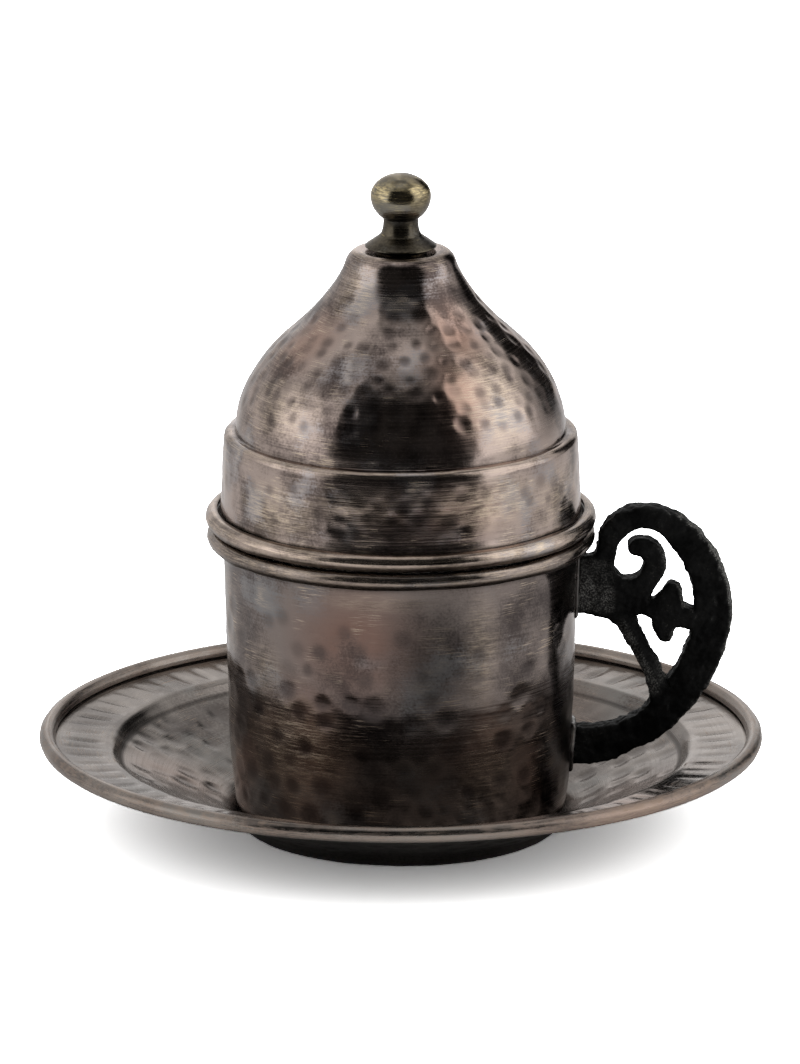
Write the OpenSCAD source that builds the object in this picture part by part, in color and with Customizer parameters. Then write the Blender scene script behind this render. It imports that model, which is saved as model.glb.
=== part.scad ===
// A lidded coffee cup set in hammered copper: saucer, cup holder with a cast scroll handle,
// loose porcelain cup, and an onion-domed lid with a brass knob.
// Millimetres, +Z up, origin at the centre of the saucer's foot, handle along +X.

/* [Sheet metal] */
// Thickness of the copper sheet
sheet_t = 0.8; // [0.6:0.05:1]
// Thickness of the wire in the rims of the holder and the lid
rim_wire_d = 1.4; // [1:0.05:1.8]
// Thickness of the wire in the saucer's rim
saucer_wire_d = 1.1; // [0.8:0.05:1.4]
// Gap all round a wire in its rolled edge
wire_gap = 0.05; // [0.03:0.01:0.1]

/* [Saucer] */
// Width of the saucer over its rolled edge
saucer_d = 125; // [105:1:150]
// Height of the saucer to the top of its rolled edge
saucer_h = 17.4; // [14:0.2:22]
// Width of the flat foot
saucer_foot_d = 54.6; // [46:0.2:60]
// Height of the steep wall round the foot
saucer_foot_h = 3.2; // [2:0.1:4.2]
// Width of the fluted band round the rim
saucer_band_w = 8.6; // [6:0.2:11]
// Height of the step inside the fluted band
saucer_step_h = 2; // [1.2:0.1:2.6]

/* [Holder] */
// Width of the holder below its rolled rim
holder_d = 61; // [52:0.5:73]
// Height of the holder from its base to the top of its rolled rim
holder_h = 52.4; // [43:0.2:63]
// How much narrower the holder is at the bottom of its wall, measured at its side
holder_taper = 1.8; // [1:0.1:3]
// Radius of the holder's bottom corner
holder_corner = 4.6; // [3:0.2:7]
// How far the wall flares out under the rolled rim
rim_flare = 0.6; // [0.2:0.1:0.8]

/* [Porcelain cup] */
// Wall of the porcelain cup
cup_wall = 2.6; // [2:0.1:3.5]
// How far the cup stands above the holder's rim
cup_rise = 13; // [9:0.5:14]
// Gap between the cup and the holder's wall
cup_gap = 0.9; // [0.5:0.1:1.5]
// Width of the ring that the cup stands on
cup_foot_d = 36; // [28:1:42]

/* [Lid] */
// Height of the lid from its rolled rim to the dome's flat top
lid_h = 48.5; // [40:0.5:58]
// Height of the lid's straight band, from the rolled rim to the ledge
lid_band_h = 16.8; // [15:0.2:20]
// Width of the ledge between the band and the dome
lid_ledge_w = 1.9; // [1:0.1:3]
// Width of the dome's flat top
lid_top_d = 18.2; // [15:0.2:22]
// Gap between the rolled rims of the lid and the holder
lid_gap = 0.2; // [0.1:0.05:0.4]

/* [Knob] */
// Width of the knob's ball
knob_d = 10.4; // [9:0.1:13]
// Height of the knob above the dome's flat top
knob_h = 13.3; // [11:0.1:16]
// Width of the knob's neck
knob_neck_d = 6.2; // [5.4:0.1:7]
// Width of the knob's conical skirt
knob_skirt_d = 12.3; // [10:0.1:14]
// Thickness of the screw under the knob
screw_d = 3; // [2:0.5:3.5]

/* [Handle] */
// Thickness of the cast handle
handle_t = 4; // [3:0.2:6]
// How far the handle reaches out past its gap to the lid's rim
handle_reach = 22.8; // [19:0.2:27.4]
// Thickness of the solder between the handle and the holder
solder_t = 0.25; // [0.15:0.05:0.4]

/* [Hidden] */

// A loose piece stands this far above the one that carries it
seat_gap = 0.1;
// Pieces that are fixed together face each other across this film
film = 0.02;
// The handle clears the lid's rim by this much
handle_gap = 0.4;
// It is filed away wherever the saucer would come nearer than this
saucer_clearance = 0.5;

// The lid's rim stands this far proud of the holder's
lid_overhang = 0.2;
// How far round its wire the sheet is rolled
curl_turn = 290;

// Colours
old_copper = [0.31, 0.23, 0.2];
black_iron = [0.07, 0.07, 0.07];
old_brass = [0.5, 0.42, 0.24];
solder_grey = [0.45, 0.44, 0.42];
bright_steel = [0.62, 0.62, 0.62];
white_glaze = [0.93, 0.92, 0.88];

// ---- Paths and sections ----

function unit(v) = v / norm(v);
function flat(p) = [p[0], p[1]];
function backwards(list) = [for (i = [len(list) - 1 : -1 : 0]) list[i]];

// The sideways step at point i of a path, mitred so that the thickness holds round corners.
function side_step(p, i) =
    let (
        last = len(p) - 1,
        before = i > 0 ? unit(p[i] - p[i - 1]) : unit(p[1] - p[0]),
        after = i < last ? unit(p[i + 1] - p[i]) : before,
        along = unit(before + after)
    )
    [-along.y, along.x] / (along * before);

function beside(p, distance) = [for (i = [0 : len(p) - 1]) p[i] + distance * side_step(p, i)];

// The section of a sheet whose middle follows a path
function sheet(p) = concat(beside(p, sheet_t / 2), backwards(beside(p, -sheet_t / 2)));

function arc(centre, r, from, to, steps) = [
    for (k = [0 : steps])
        let (a = from + (to - from) * k / steps)
        centre + r * [cos(a), sin(a)]
];

function curve(a, b, c, d, steps) = [
    for (k = [0 : steps])
        let (t = k / steps, u = 1 - t)
        u * u * u * a + 3 * u * u * t * b + 3 * u * t * t * c + t * t * t * d
];

// A path through corner points [x, y, set_back], each rounded over its own set-back
function soft(p, steps = 6) = [
    for (i = [0 : len(p) - 1])
        let (here = flat(p[i]), back = p[i][2])
        if (back == 0) here
        else
            let (
                a = here + back * unit(flat(p[i - 1]) - here),
                c = here + back * unit(flat(p[i + 1]) - here)
            )
            each [
                for (k = [0 : steps])
                    let (t = k / steps, u = 1 - t)
                    u * u * a + 2 * u * t * here + t * t * c
            ]
];

module turned(section) {
    rotate_extrude($fn = 180) polygon(section);
}

module ring(r, z, d) {
    rotate_extrude($fn = 180) translate([r, z]) circle(d = d, $fn = 24);
}

// ---- Rolled edges ----

rim_bead_d = rim_wire_d + 2 * (wire_gap + sheet_t);
saucer_bead_d = saucer_wire_d + 2 * (wire_gap + sheet_t);
// Radius of the middle of the sheet round its wire
rim_curl_r = (rim_bead_d - sheet_t) / 2;
saucer_curl_r = (saucer_bead_d - sheet_t) / 2;

// ---- Saucer ----

saucer_rim_r = (saucer_d - saucer_bead_d) / 2;
saucer_rim_z = saucer_h - saucer_bead_d / 2;
// The band runs in from under the rolled edge, and rises by an eighth of its width
band_outer_z = saucer_rim_z - saucer_curl_r;
band_inner_r = saucer_rim_r - saucer_bead_d / 2 - saucer_band_w;
band_inner_z = band_outer_z - saucer_band_w / 8;
foot_r = saucer_foot_d / 2;
// Outward run of the foot's wall, of the step and of the smooth ring on top of the step
foot_run = 2.9;
step_run = 1.7;
ring_run = 0.9;

// Middle of the sheet from the centre out to the rolled edge
saucer_floor = soft([
    [0, sheet_t / 2, 0],
    [foot_r - 0.4, sheet_t / 2, 0.8],
    [foot_r + foot_run, saucer_foot_h + sheet_t / 2, 1.2],
    [band_inner_r - ring_run - step_run, band_inner_z - saucer_step_h, 1],
    [band_inner_r - ring_run, band_inner_z, 0.6],
    [saucer_rim_r - 1.2, band_outer_z - 0.1, 0]
]);
saucer_path = concat(
    saucer_floor,
    arc([saucer_rim_r, saucer_rim_z], saucer_curl_r, -90, curl_turn - 90, 20)
);

module saucer_plate() {
    color(old_copper) turned(sheet(saucer_path));
}

module saucer_rim_wire() {
    color(bright_steel) ring(saucer_rim_r, saucer_rim_z, saucer_wire_d);
}

// Everything from the table up to the saucer's upper face, grown upwards
module saucer_space(grow) {
    top = beside(saucer_floor, sheet_t / 2 + grow);
    turned(concat([[0, 0]], top, [[top[len(top) - 1].x, 0]]));
    ring(saucer_rim_r, saucer_rim_z, saucer_bead_d + 2 * grow);
}

// ---- Seat of the holder on the saucer ----

// Radii of the middle of the holder's wall
wall_top_r = (holder_d - sheet_t) / 2;
wall_foot_r = wall_top_r - holder_taper;
// The holder's underside is flat out to here, and then turns up round its corner
base_r = wall_foot_r - holder_corner;
corner_r = holder_corner + sheet_t / 2;

// How far the underside stands above the holder's base at radius r
function underside(r) =
    r <= base_r ? 0 : corner_r - sqrt(corner_r * corner_r - (r - base_r) * (r - base_r));

saucer_top = beside(saucer_floor, sheet_t / 2);
under_holder = [
    for (i = [1 : len(saucer_top) - 1], k = [0 : 20])
        let (p = saucer_top[i - 1] + (saucer_top[i] - saucer_top[i - 1]) * k / 20)
        if (p.x < base_r + corner_r) p
];

// ---- Heights, from the table up ----

// The holder comes down until its underside meets the saucer: on the flat foot, or else on the
// slope where the foot is too narrow for it
holder_base_z = seat_gap + max([for (p = under_holder) p.y - underside(p.x)]);
holder_rim_z = holder_base_z + holder_h - rim_bead_d / 2;
cup_base_z = holder_base_z + sheet_t + seat_gap;
cup_top_z = holder_base_z + holder_h + cup_rise;
lid_base_z = holder_base_z + holder_h + lid_gap;
lid_rim_z = lid_base_z + rim_bead_d / 2;
lid_ledge_z = lid_base_z + lid_band_h;
lid_top_z = lid_base_z + lid_h;

// ---- Holder ----

wall_foot_z = holder_base_z + sheet_t / 2 + holder_corner;
holder_bead_r = wall_top_r + rim_flare;
holder_rim_r = holder_bead_r + rim_curl_r;
// The flare takes up the last stretch of the wall
flare_h = 3.4;
wall_top_z = holder_rim_z - flare_h;
wall_rise = wall_top_z - wall_foot_z;

// Middle of the sheet up the wall: it fills out soon above the corner, then runs nearly straight
wall_path = curve(
    [wall_foot_r, wall_foot_z],
    [wall_foot_r + 0.6 * holder_taper, wall_foot_z + 0.15 * wall_rise],
    [wall_top_r - 0.35 * holder_taper, wall_foot_z + 0.54 * wall_rise],
    [wall_top_r, wall_top_z],
    12
);

flare_path = curve(
    [wall_top_r, wall_top_z],
    [wall_top_r + 0.1, wall_top_z + flare_h / 3],
    [holder_bead_r, holder_rim_z - flare_h / 3],
    [holder_bead_r, holder_rim_z - 0.05],
    5
);

holder_path = concat(
    [[0, holder_base_z + sheet_t / 2]],
    arc([wall_foot_r - holder_corner, wall_foot_z], holder_corner, -90, -4, 9),
    wall_path,
    [for (i = [1 : len(flare_path) - 1]) flare_path[i]],
    [for (i = [1 : 20]) arc([holder_rim_r, holder_rim_z], rim_curl_r, 180, 180 - curl_turn, 20)[i]]
);

module holder_shell() {
    color(old_copper) turned(sheet(holder_path));
}

module holder_rim_wire() {
    color(bright_steel) ring(holder_rim_r, holder_rim_z, rim_wire_d);
}

// The space inside the outer face of the holder's wall, grown outwards
module wall_core(grow) {
    face = beside(concat(wall_path, [flare_path[2]]), -(sheet_t / 2 + grow));
    turned(concat([[0, face[0].y]], face, [[0, face[len(face) - 1].y]]));
}

// ---- Handle ----

// The scroll is drawn with x measured out from the gap beside the lid's rim and z up from the
// middle of the foot, then stretched to its reach and to the height between the foot and the pad.
drawn_reach = 22.8;
drawn_rise = 28.8;
pad_h = 9.6;
foot_h = 6.4;
// Room between the pad and the holder's rolled rim, and height of the foot above the holder's base
pad_drop = 2.4;
foot_rise = 13.3;
pad_z = holder_rim_z - rim_bead_d / 2 - pad_drop - pad_h / 2;
foot_z = holder_base_z + foot_rise;
handle_x0 = holder_rim_r + rim_bead_d / 2 + lid_overhang + handle_gap;
stretch_x = handle_reach / drawn_reach;
stretch_z = (pad_z - foot_z) / drawn_rise;

// Each stroke is a list of [x, z, width]. Points behind x = 0 run up to the holder's wall.
handle_band = [
    [1.5, 35.2, 2.9], [2, 37.2, 3.4], [3.9, 39.6, 3.6], [7.2, 40.7, 3.4], [11.2, 40.1, 3.7],
    [14.7, 37.2, 4.7], [17.6, 33.2, 5.3], [19.4, 28.2, 5.7], [19.8, 23.4, 6], [18.8, 18.4, 6],
    [16.7, 13.2, 5.8], [13.1, 8.2, 6], [9.2, 4, 5.1], [4.8, 1.7, 5.1], [0.2, 0.2, 5.9], [-5, 0, foot_h]
];
handle_root = [[0.2, 31, 3.6], [1.1, 33.4, 3.2], [1.5, 35.6, 3]];
handle_strut = [
    [3, 25.4, 4.6], [5, 21.6, 3.1], [7.2, 17.6, 2.6], [9.2, 13.8, 2.7], [10.6, 10.4, 3.2], [11.4, 8, 4.4]
];
handle_comma = [
    [6.6, 26.4, 3.8], [7.9, 28.7, 3.2], [9.4, 31, 3.4], [9.6, 33.5, 3.4], [8.1, 35.3, 2.8], [6.5, 35.4, 2.5]
];
handle_leaf = [[11.5, 19.9, 2.3], [11.4, 22, 3.8], [12.2, 25, 4.6], [12.9, 27.6, 2.5]];
handle_arm = [[6.6, 25, 2.5], [8.6, 24.6, 2.4], [12.2, 23.8, 3.8], [17.1, 22.2, 2.7], [18.6, 22, 3]];

// The pad against the holder narrows to a web that carries the comma and the arm
pad_top = drawn_rise + pad_h / 2;
pad_bottom = drawn_rise - pad_h / 2;
handle_pad = [
    [-5, pad_top], [2.5, pad_top], [2.8, 31.8], [5, 30.4], [8, 30.6], [8.6, 26.7],
    [8, 24.4], [5, 22.8], [2, pad_bottom - 1], [0, pad_bottom - 0.6], [-3, pad_bottom], [-5, pad_bottom]
];
// The round eye between the pad and the comma
eye = [5.3, 32.5];
eye_r = 2.9;

// A smooth line through a stroke's points
function smooth(p, steps = 5) = [
    for (i = [0 : len(p) - 2])
        let (
            a = p[max(0, i - 1)],
            b = p[i],
            c = p[i + 1],
            d = p[min(len(p) - 1, i + 2)]
        )
        for (k = [0 : i == len(p) - 2 ? steps : steps - 1])
            let (t = k / steps)
            (2 * b + t * (c - a) + t * t * (2 * a - 5 * b + 4 * c - d)
                + t * t * t * (3 * b - a - 3 * c + d)) / 2
];

function stretched(points) = [for (p = points) [p.x * stretch_x, p.y * stretch_z]];

// The outline of a stroke with round ends
function ribbon(stroke) =
    let (
        line = smooth(stroke),
        middle = stretched(line),
        last = len(line) - 1,
        step = [for (i = [0 : last]) unit(side_step(middle, i))],
        left = [for (i = [0 : last]) middle[i] + step[i] * line[i].z / 2],
        right = [for (i = [0 : last]) middle[i] - step[i] * line[i].z / 2],
        end_angle = atan2(step[last].y, step[last].x),
        start_angle = atan2(-step[0].y, -step[0].x),
        end = arc(middle[last], line[last].z / 2, end_angle - 20, end_angle - 160, 7),
        start = arc(middle[0], line[0].z / 2, start_angle - 20, start_angle - 160, 7)
    )
    concat(left, end, backwards(right), start);

module scroll() {
    polygon(ribbon(handle_band));
    difference() {
        union() {
            polygon(stretched(handle_pad));
            polygon(ribbon(handle_root));
        }
        translate(stretched([eye])[0]) circle(r = eye_r, $fn = 48);
    }
    polygon(ribbon(handle_strut));
    polygon(ribbon(handle_comma));
    polygon(ribbon(handle_leaf));
    polygon(ribbon(handle_arm));
}

module handle() {
    color(black_iron)
        difference() {
            translate([handle_x0, 0, foot_z])
                rotate([90, 0, 0])
                    linear_extrude(handle_t, center = true) scroll();
            wall_core(solder_t + film);
            saucer_space(saucer_clearance);
        }
}

// Solder spreads past the edge of the casting that it holds
solder_spread = 0.8;

module solder_joint(z, h) {
    width = handle_t + 2 * solder_spread;
    height = h + 2 * solder_spread;
    color(solder_grey)
        intersection() {
            difference() {
                wall_core(solder_t);
                wall_core(film);
            }
            translate([0, -width / 2, z - height / 2]) cube([holder_d, width, height]);
        }
}

module upper_solder_joint() {
    solder_joint(pad_z, pad_h);
}

module lower_solder_joint() {
    solder_joint(foot_z, foot_h);
}

// ---- Porcelain cup ----

cup_side_r = wall_foot_r - sheet_t / 2 - cup_gap;
cup_top_r = wall_top_r - sheet_t / 2 - cup_gap;
cup_floor_t = cup_wall + 0.6;
cup_foot_h = 1.6;
cup_foot_w = 2.4;
cup_foot_r = cup_foot_d / 2;
// Depth of the rounded bottom of the cup
cup_bowl_h = 14;

cup_outside = concat(
    [
        [0, cup_base_z + cup_foot_h],
        [cup_foot_r - cup_foot_w, cup_base_z + cup_foot_h],
        [cup_foot_r - cup_foot_w, cup_base_z],
        [cup_foot_r, cup_base_z]
    ],
    curve(
        [cup_foot_r + 0.3, cup_base_z + cup_foot_h],
        [cup_foot_r + 5, cup_base_z + cup_foot_h + 1],
        [cup_side_r - 0.4, cup_base_z + 6],
        [cup_side_r, cup_base_z + cup_bowl_h],
        10
    ),
    [[cup_top_r, cup_top_z - cup_wall / 2]]
);
cup_lip = arc([cup_top_r - cup_wall / 2, cup_top_z - cup_wall / 2], cup_wall / 2, 15, 165, 8);
cup_inside = concat(
    [[cup_top_r - cup_wall, cup_top_z - cup_wall / 2]],
    curve(
        [cup_side_r - cup_wall, cup_base_z + cup_bowl_h],
        [cup_side_r - cup_wall - 0.4, cup_base_z + 8],
        [cup_foot_r + 3, cup_base_z + cup_foot_h + cup_floor_t],
        [cup_foot_r - 4, cup_base_z + cup_foot_h + cup_floor_t],
        10
    ),
    [[0, cup_base_z + cup_foot_h + cup_floor_t]]
);

module porcelain_cup() {
    color(white_glaze) turned(concat(cup_outside, cup_lip, cup_inside));
}

// ---- Lid ----

lid_rim_r = holder_rim_r + lid_overhang;
band_foot_r = lid_rim_r - rim_curl_r;
band_top_r = band_foot_r - 0.9;
dome_foot_r = band_top_r - lid_ledge_w;
dome_top_r = lid_top_d / 2;
dome_h = lid_h - lid_band_h;
plate_z = lid_top_z - sheet_t / 2;
ledge_z = lid_ledge_z - sheet_t / 2;
// The onion curve turns from bulging to hollow here
turn_r = dome_top_r + 0.48 * (dome_foot_r - dome_top_r);
turn_z = lid_ledge_z + 0.555 * dome_h;
// Height of the soft shoulder under the flat top
shoulder_h = 1.8;

dome_path = concat(
    curve(
        [dome_foot_r, ledge_z],
        [dome_foot_r - 0.1, lid_ledge_z + 0.24 * dome_h],
        [turn_r + 4.8, turn_z - 3.9],
        [turn_r, turn_z],
        12
    ),
    [for (i = [1 : 12])
        curve(
            [turn_r, turn_z],
            [turn_r - 4, turn_z + 3.3],
            [dome_top_r + 0.8, lid_top_z - 0.16 * dome_h],
            [dome_top_r, plate_z - shoulder_h],
            12
        )[i]],
    [for (i = [1 : 6])
        curve(
            [dome_top_r, plate_z - shoulder_h],
            [dome_top_r - 0.3, plate_z - 0.5 * shoulder_h],
            [dome_top_r - 0.8, plate_z],
            [dome_top_r - 2, plate_z],
            6
        )[i]]
);

lid_path = concat(
    arc([lid_rim_r, lid_rim_z], rim_curl_r, curl_turn - 180, -180, 20),
    soft([
        [band_foot_r, lid_rim_z + 0.2, 0],
        [band_foot_r - 0.3, lid_rim_z + 2, 0.8],
        [band_top_r, ledge_z, 0.9],
        [dome_foot_r, ledge_z, 0.7],
        [dome_path[1].x, dome_path[1].y, 0]
    ]),
    [for (i = [2 : len(dome_path) - 1]) dome_path[i]],
    [[screw_d / 2 + 0.2, plate_z]]
);

module lid_shell() {
    color(old_copper) turned(sheet(lid_path));
}

module lid_rim_wire() {
    color(bright_steel) ring(lid_rim_r, lid_rim_z, rim_wire_d);
}

// ---- Knob and its screw ----

knob_z = lid_top_z + film;
ball_r = knob_d / 2;
// The ball is flattened on top and drawn in below
ball_top = 0.75 * ball_r;
ball_drop = 0.92 * ball_r;
ball_z = knob_h - film - ball_top;
neck_r = knob_neck_d / 2;
skirt_r = knob_skirt_d / 2;
skirt_edge_h = 0.4;
skirt_h = 2.7;
neck_angle = acos(neck_r / ball_r);
thread_gap = 0.05;
thread_r = screw_d / 2 + thread_gap;
thread_depth = 6;
screw_bite = 5;
washer_t = 0.5;
washer_d = 2.3 * screw_d;
head_h = 0.6 * screw_d;
head_d = 1.9 * screw_d;

module lid_knob() {
    color(old_brass)
        translate([0, 0, knob_z])
            difference() {
                turned(concat(
                    [[0, 0], [skirt_r, 0], [skirt_r, skirt_edge_h], [neck_r, skirt_h]],
                    [for (k = [0 : 8])
                        let (a = -neck_angle * (1 - k / 8))
                        [ball_r * cos(a), ball_z + ball_drop * sin(a)]],
                    [for (k = [1 : 10])
                        let (a = 9 * k)
                        [k == 10 ? 0 : ball_r * cos(a), ball_z + ball_top * sin(a)]]
                ));
                translate([0, 0, -1]) cylinder(r = thread_r, h = thread_depth + 1, $fn = 48);
            }
}

washer_z = lid_top_z - sheet_t - film - washer_t;
head_z = washer_z - film - head_h;

module knob_screw() {
    slot_w = 0.26 * screw_d;
    slot_depth = 0.3 * screw_d;
    color(bright_steel)
        difference() {
            union() {
                translate([0, 0, head_z]) cylinder(d = head_d, h = head_h, $fn = 48);
                translate([0, 0, head_z]) cylinder(d = screw_d, h = knob_z + screw_bite - head_z, $fn = 48);
            }
            translate([-head_d, -slot_w / 2, head_z - 1]) cube([2 * head_d, slot_w, slot_depth + 1]);
        }
}

module knob_washer() {
    color(bright_steel)
        translate([0, 0, washer_z])
            difference() {
                cylinder(d = washer_d, h = washer_t, $fn = 48);
                translate([0, 0, -1]) cylinder(r = screw_d / 2 + 0.1, h = washer_t + 2, $fn = 48);
            }
}

saucer_plate();
saucer_rim_wire();
holder_shell();
holder_rim_wire();
handle();
upper_solder_joint();
lower_solder_joint();
porcelain_cup();
lid_shell();
lid_rim_wire();
lid_knob();
knob_screw();
knob_washer();
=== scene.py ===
import math

import bpy
import numpy as np
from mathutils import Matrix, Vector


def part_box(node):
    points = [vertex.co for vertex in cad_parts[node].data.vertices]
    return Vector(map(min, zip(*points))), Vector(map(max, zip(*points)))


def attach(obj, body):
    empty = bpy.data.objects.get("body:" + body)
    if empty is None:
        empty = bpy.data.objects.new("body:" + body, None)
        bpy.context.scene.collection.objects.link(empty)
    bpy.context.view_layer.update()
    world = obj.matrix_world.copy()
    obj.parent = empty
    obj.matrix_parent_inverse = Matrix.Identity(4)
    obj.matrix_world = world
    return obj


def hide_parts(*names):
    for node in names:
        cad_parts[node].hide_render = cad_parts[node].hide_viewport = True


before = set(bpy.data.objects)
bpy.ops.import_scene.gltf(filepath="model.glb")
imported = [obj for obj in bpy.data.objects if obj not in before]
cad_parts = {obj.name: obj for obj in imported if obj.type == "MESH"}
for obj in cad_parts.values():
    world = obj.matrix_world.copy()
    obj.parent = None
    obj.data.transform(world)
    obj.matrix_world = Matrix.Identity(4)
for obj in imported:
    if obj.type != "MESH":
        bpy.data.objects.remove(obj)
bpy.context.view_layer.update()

mm = 0.001


# Handling objects

def clearSelection():
    if bpy.context.object and bpy.context.object.mode != "OBJECT":
        bpy.ops.object.mode_set(mode="OBJECT")
    bpy.ops.object.select_all(action="DESELECT")


def pick(piece):
    clearSelection()
    piece.select_set(True)
    bpy.context.view_layer.objects.active = piece


def applyModifier(piece, kind, **values):
    pick(piece)
    modifier = piece.modifiers.new(kind.lower(), kind)
    for key, value in values.items():
        setattr(modifier, key, value)
    bpy.ops.object.modifier_apply(modifier=modifier.name)


def editAll(piece):
    pick(piece)
    bpy.ops.object.mode_set(mode="EDIT")
    bpy.ops.mesh.select_all(action="SELECT")


def leaveEdit():
    bpy.ops.object.mode_set(mode="OBJECT")


def cleanMesh(piece):
    editAll(piece)
    bpy.ops.mesh.remove_doubles(threshold=0.002 * mm)
    bpy.ops.mesh.normals_make_consistent(inside=False)
    leaveEdit()


def smoothShade(piece, angle=40):
    pick(piece)
    bpy.ops.object.shade_smooth_by_angle(angle=math.radians(angle))


def meshPoints(piece):
    found = np.empty(len(piece.data.vertices) * 3, np.float32)
    piece.data.vertices.foreach_get("co", found)
    return found.reshape(-1, 3).astype(float)


def unit(values):
    return np.clip(values, 0, 1)


def fromAxis(places):
    return np.hypot(places[:, 0], places[:, 1])


def movePoints(piece, points):
    piece.data.vertices.foreach_set("co", points.astype(np.float32).ravel())
    piece.data.update()


def meshNormals(piece):
    found = np.empty(len(piece.data.vertices) * 3, np.float32)
    piece.data.vertex_normals.foreach_get("vector", found)
    return found.reshape(-1, 3).astype(float)


def storeMask(piece, name, values):  # a mask that the piece's material reads
    mask = piece.data.attributes.get(name) or piece.data.attributes.new(name, "FLOAT", "POINT")
    mask.data.foreach_set("value", values.astype(np.float32))


def settle(piece, body, nodes, materials):
    piece.data.materials.clear()
    for material in materials:
        piece.data.materials.append(material)
    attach(piece, body)
    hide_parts(*nodes)
    print("  ", piece.name, len(piece.data.polygons), "faces")


# Drawing profiles, each point (radius, height) in metres

def arcLine(centre, radius, start, end, count):
    angles = [math.radians(start + (end - start) * k / count) for k in range(count + 1)]
    return [(centre[0] + radius * math.cos(a), centre[1] + radius * math.sin(a)) for a in angles]


def curveLine(a, b, c, d, count):
    points = []
    for k in range(count + 1):
        t = k / count
        u = 1 - t
        weights = (u * u * u, 3 * u * u * t, 3 * u * t * t, t * t * t)
        points.append(tuple(sum(w * p[i] for w, p in zip(weights, (a, b, c, d))) for i in (0, 1)))
    return points


def softLine(corners, count=8):  # corners are (radius, height, set back)
    points = []
    for i, (x, z, back) in enumerate(corners):
        here = np.array((x, z))
        if back == 0:
            points.append((x, z))
            continue
        before = np.array(corners[i - 1][:2]) - here
        after = np.array(corners[i + 1][:2]) - here
        a = here + back * before / np.linalg.norm(before)
        c = here + back * after / np.linalg.norm(after)
        for k in range(count + 1):
            t = k / count
            points.append(tuple((1 - t) ** 2 * a + 2 * t * (1 - t) * here + t * t * c))
    return points


def lengthAlong(line):
    return np.concatenate([[0], np.cumsum(np.hypot(*np.diff(line, axis=0).T))])


def evenly(path, spacing):  # the same line with its points evenly spaced
    line = np.array(path)
    length = lengthAlong(line)
    places = np.linspace(0, length[-1], int(length[-1] / spacing) + 1)
    return list(zip(np.interp(places, length, line[:, 0]), np.interp(places, length, line[:, 1])))


def spaced(sections):  # one profile out of (points, spacing) sections that follow on
    line = [sections[0][0][0]]
    for points, spacing in sections:
        line += evenly([line[-1]] + list(points), spacing)[1:]
    return line


def spinProfile(name, path, steps):  # draws a profile point by point and spins it round the axis
    clearSelection()
    bpy.ops.mesh.primitive_plane_add(size=mm, location=(0, 0, 0))
    piece = bpy.context.object
    piece.name = name
    editAll(piece)
    bpy.ops.mesh.merge(type="CENTER")
    bpy.ops.transform.translate(value=(path[0][0], 0, path[0][1]))
    for a, b in zip(path, path[1:]):
        bpy.ops.mesh.extrude_region_move(TRANSFORM_OT_translate={"value": (b[0] - a[0], 0, b[1] - a[1])})
    bpy.ops.mesh.select_all(action="SELECT")
    bpy.ops.mesh.spin(steps=steps, angle=math.tau, center=(0, 0, 0), axis=(0, 0, 1))
    leaveEdit()
    cleanMesh(piece)
    return piece


def faceTowards(piece, point, direction):  # turns an open sheet so that it faces that way near the point
    places = meshPoints(piece)
    nearest = int(np.argmin(((places - np.array(point)) ** 2).sum(axis=1)))
    if float(np.dot(meshNormals(piece)[nearest], direction)) < 0:
        editAll(piece)
        bpy.ops.mesh.flip_normals()
        leaveEdit()


# Hammer marks

def onProfile(piece, path):  # angle, radius and distance along the profile of every point
    places = meshPoints(piece)
    line = np.array(path)
    length = lengthAlong(line)
    radius = fromAxis(places)
    along = np.empty(len(places))
    for start in range(0, len(places), 4000):
        part = slice(start, start + 4000)
        away = (radius[part, None] - line[None, :, 0]) ** 2 + (places[part, 2, None] - line[None, :, 1]) ** 2
        along[part] = length[np.argmin(away, axis=1)]
    return np.arctan2(places[:, 1], places[:, 0]), radius, along


def bowl(distance):
    inside = unit((1 - distance) / 0.75)
    return inside * inside * (3 - 2 * inside)


hammer = {"strayAcross": 0.22, "strayAlong": 0.24, "smallest": 0.78, "largest": 1.22, "fewest": 8}


def hammerMarks(angle, radius, along, rows, chance):
    marks = np.zeros(len(angle))
    for row in rows:
        close = np.abs(along - row["at"]) < row["size"] * 1.2
        if not close.any():
            continue
        ring = float(np.median(radius[close]))
        count = max(hammer["fewest"], int(round(math.tau * ring / row["pitch"])))
        gap = math.tau / count
        sideways = chance.uniform(-hammer["strayAcross"], hammer["strayAcross"], count) * gap
        upwards = chance.uniform(-hammer["strayAlong"], hammer["strayAlong"], count) * row["size"]
        size = row["size"] / 2 * chance.uniform(hammer["smallest"], hammer["largest"], count)
        depth = np.maximum(chance.uniform(row["faintest"], 1, count), 0)
        turn = angle[close] - row["turn"] * gap
        slot = np.round(turn / gap)
        found = np.zeros(int(close.sum()))
        for step in (-1, 0, 1):
            k = np.mod(slot + step, count).astype(int)
            across = (turn - (slot + step) * gap - sideways[k]) * radius[close]
            rise = along[close] - row["at"] - upwards[k]
            found = np.maximum(found, depth[k] * bowl(np.hypot(across, rise) / size[k]))
        marks[close] = np.maximum(marks[close], found)
    return marks


def markRow(at, pitch, size, number, faintest, lean=0.0):  # every other row is turned by half a mark
    turn = 0.5 * (number % 2) + lean
    return {"at": at, "pitch": pitch, "size": size, "turn": turn, "faintest": faintest}


def frontTurn(places):  # degrees round the axis, 0 at the front, positive towards the handle
    return np.mod(np.degrees(np.arctan2(places[:, 1], places[:, 0])) + 270, 360) - 180


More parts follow.
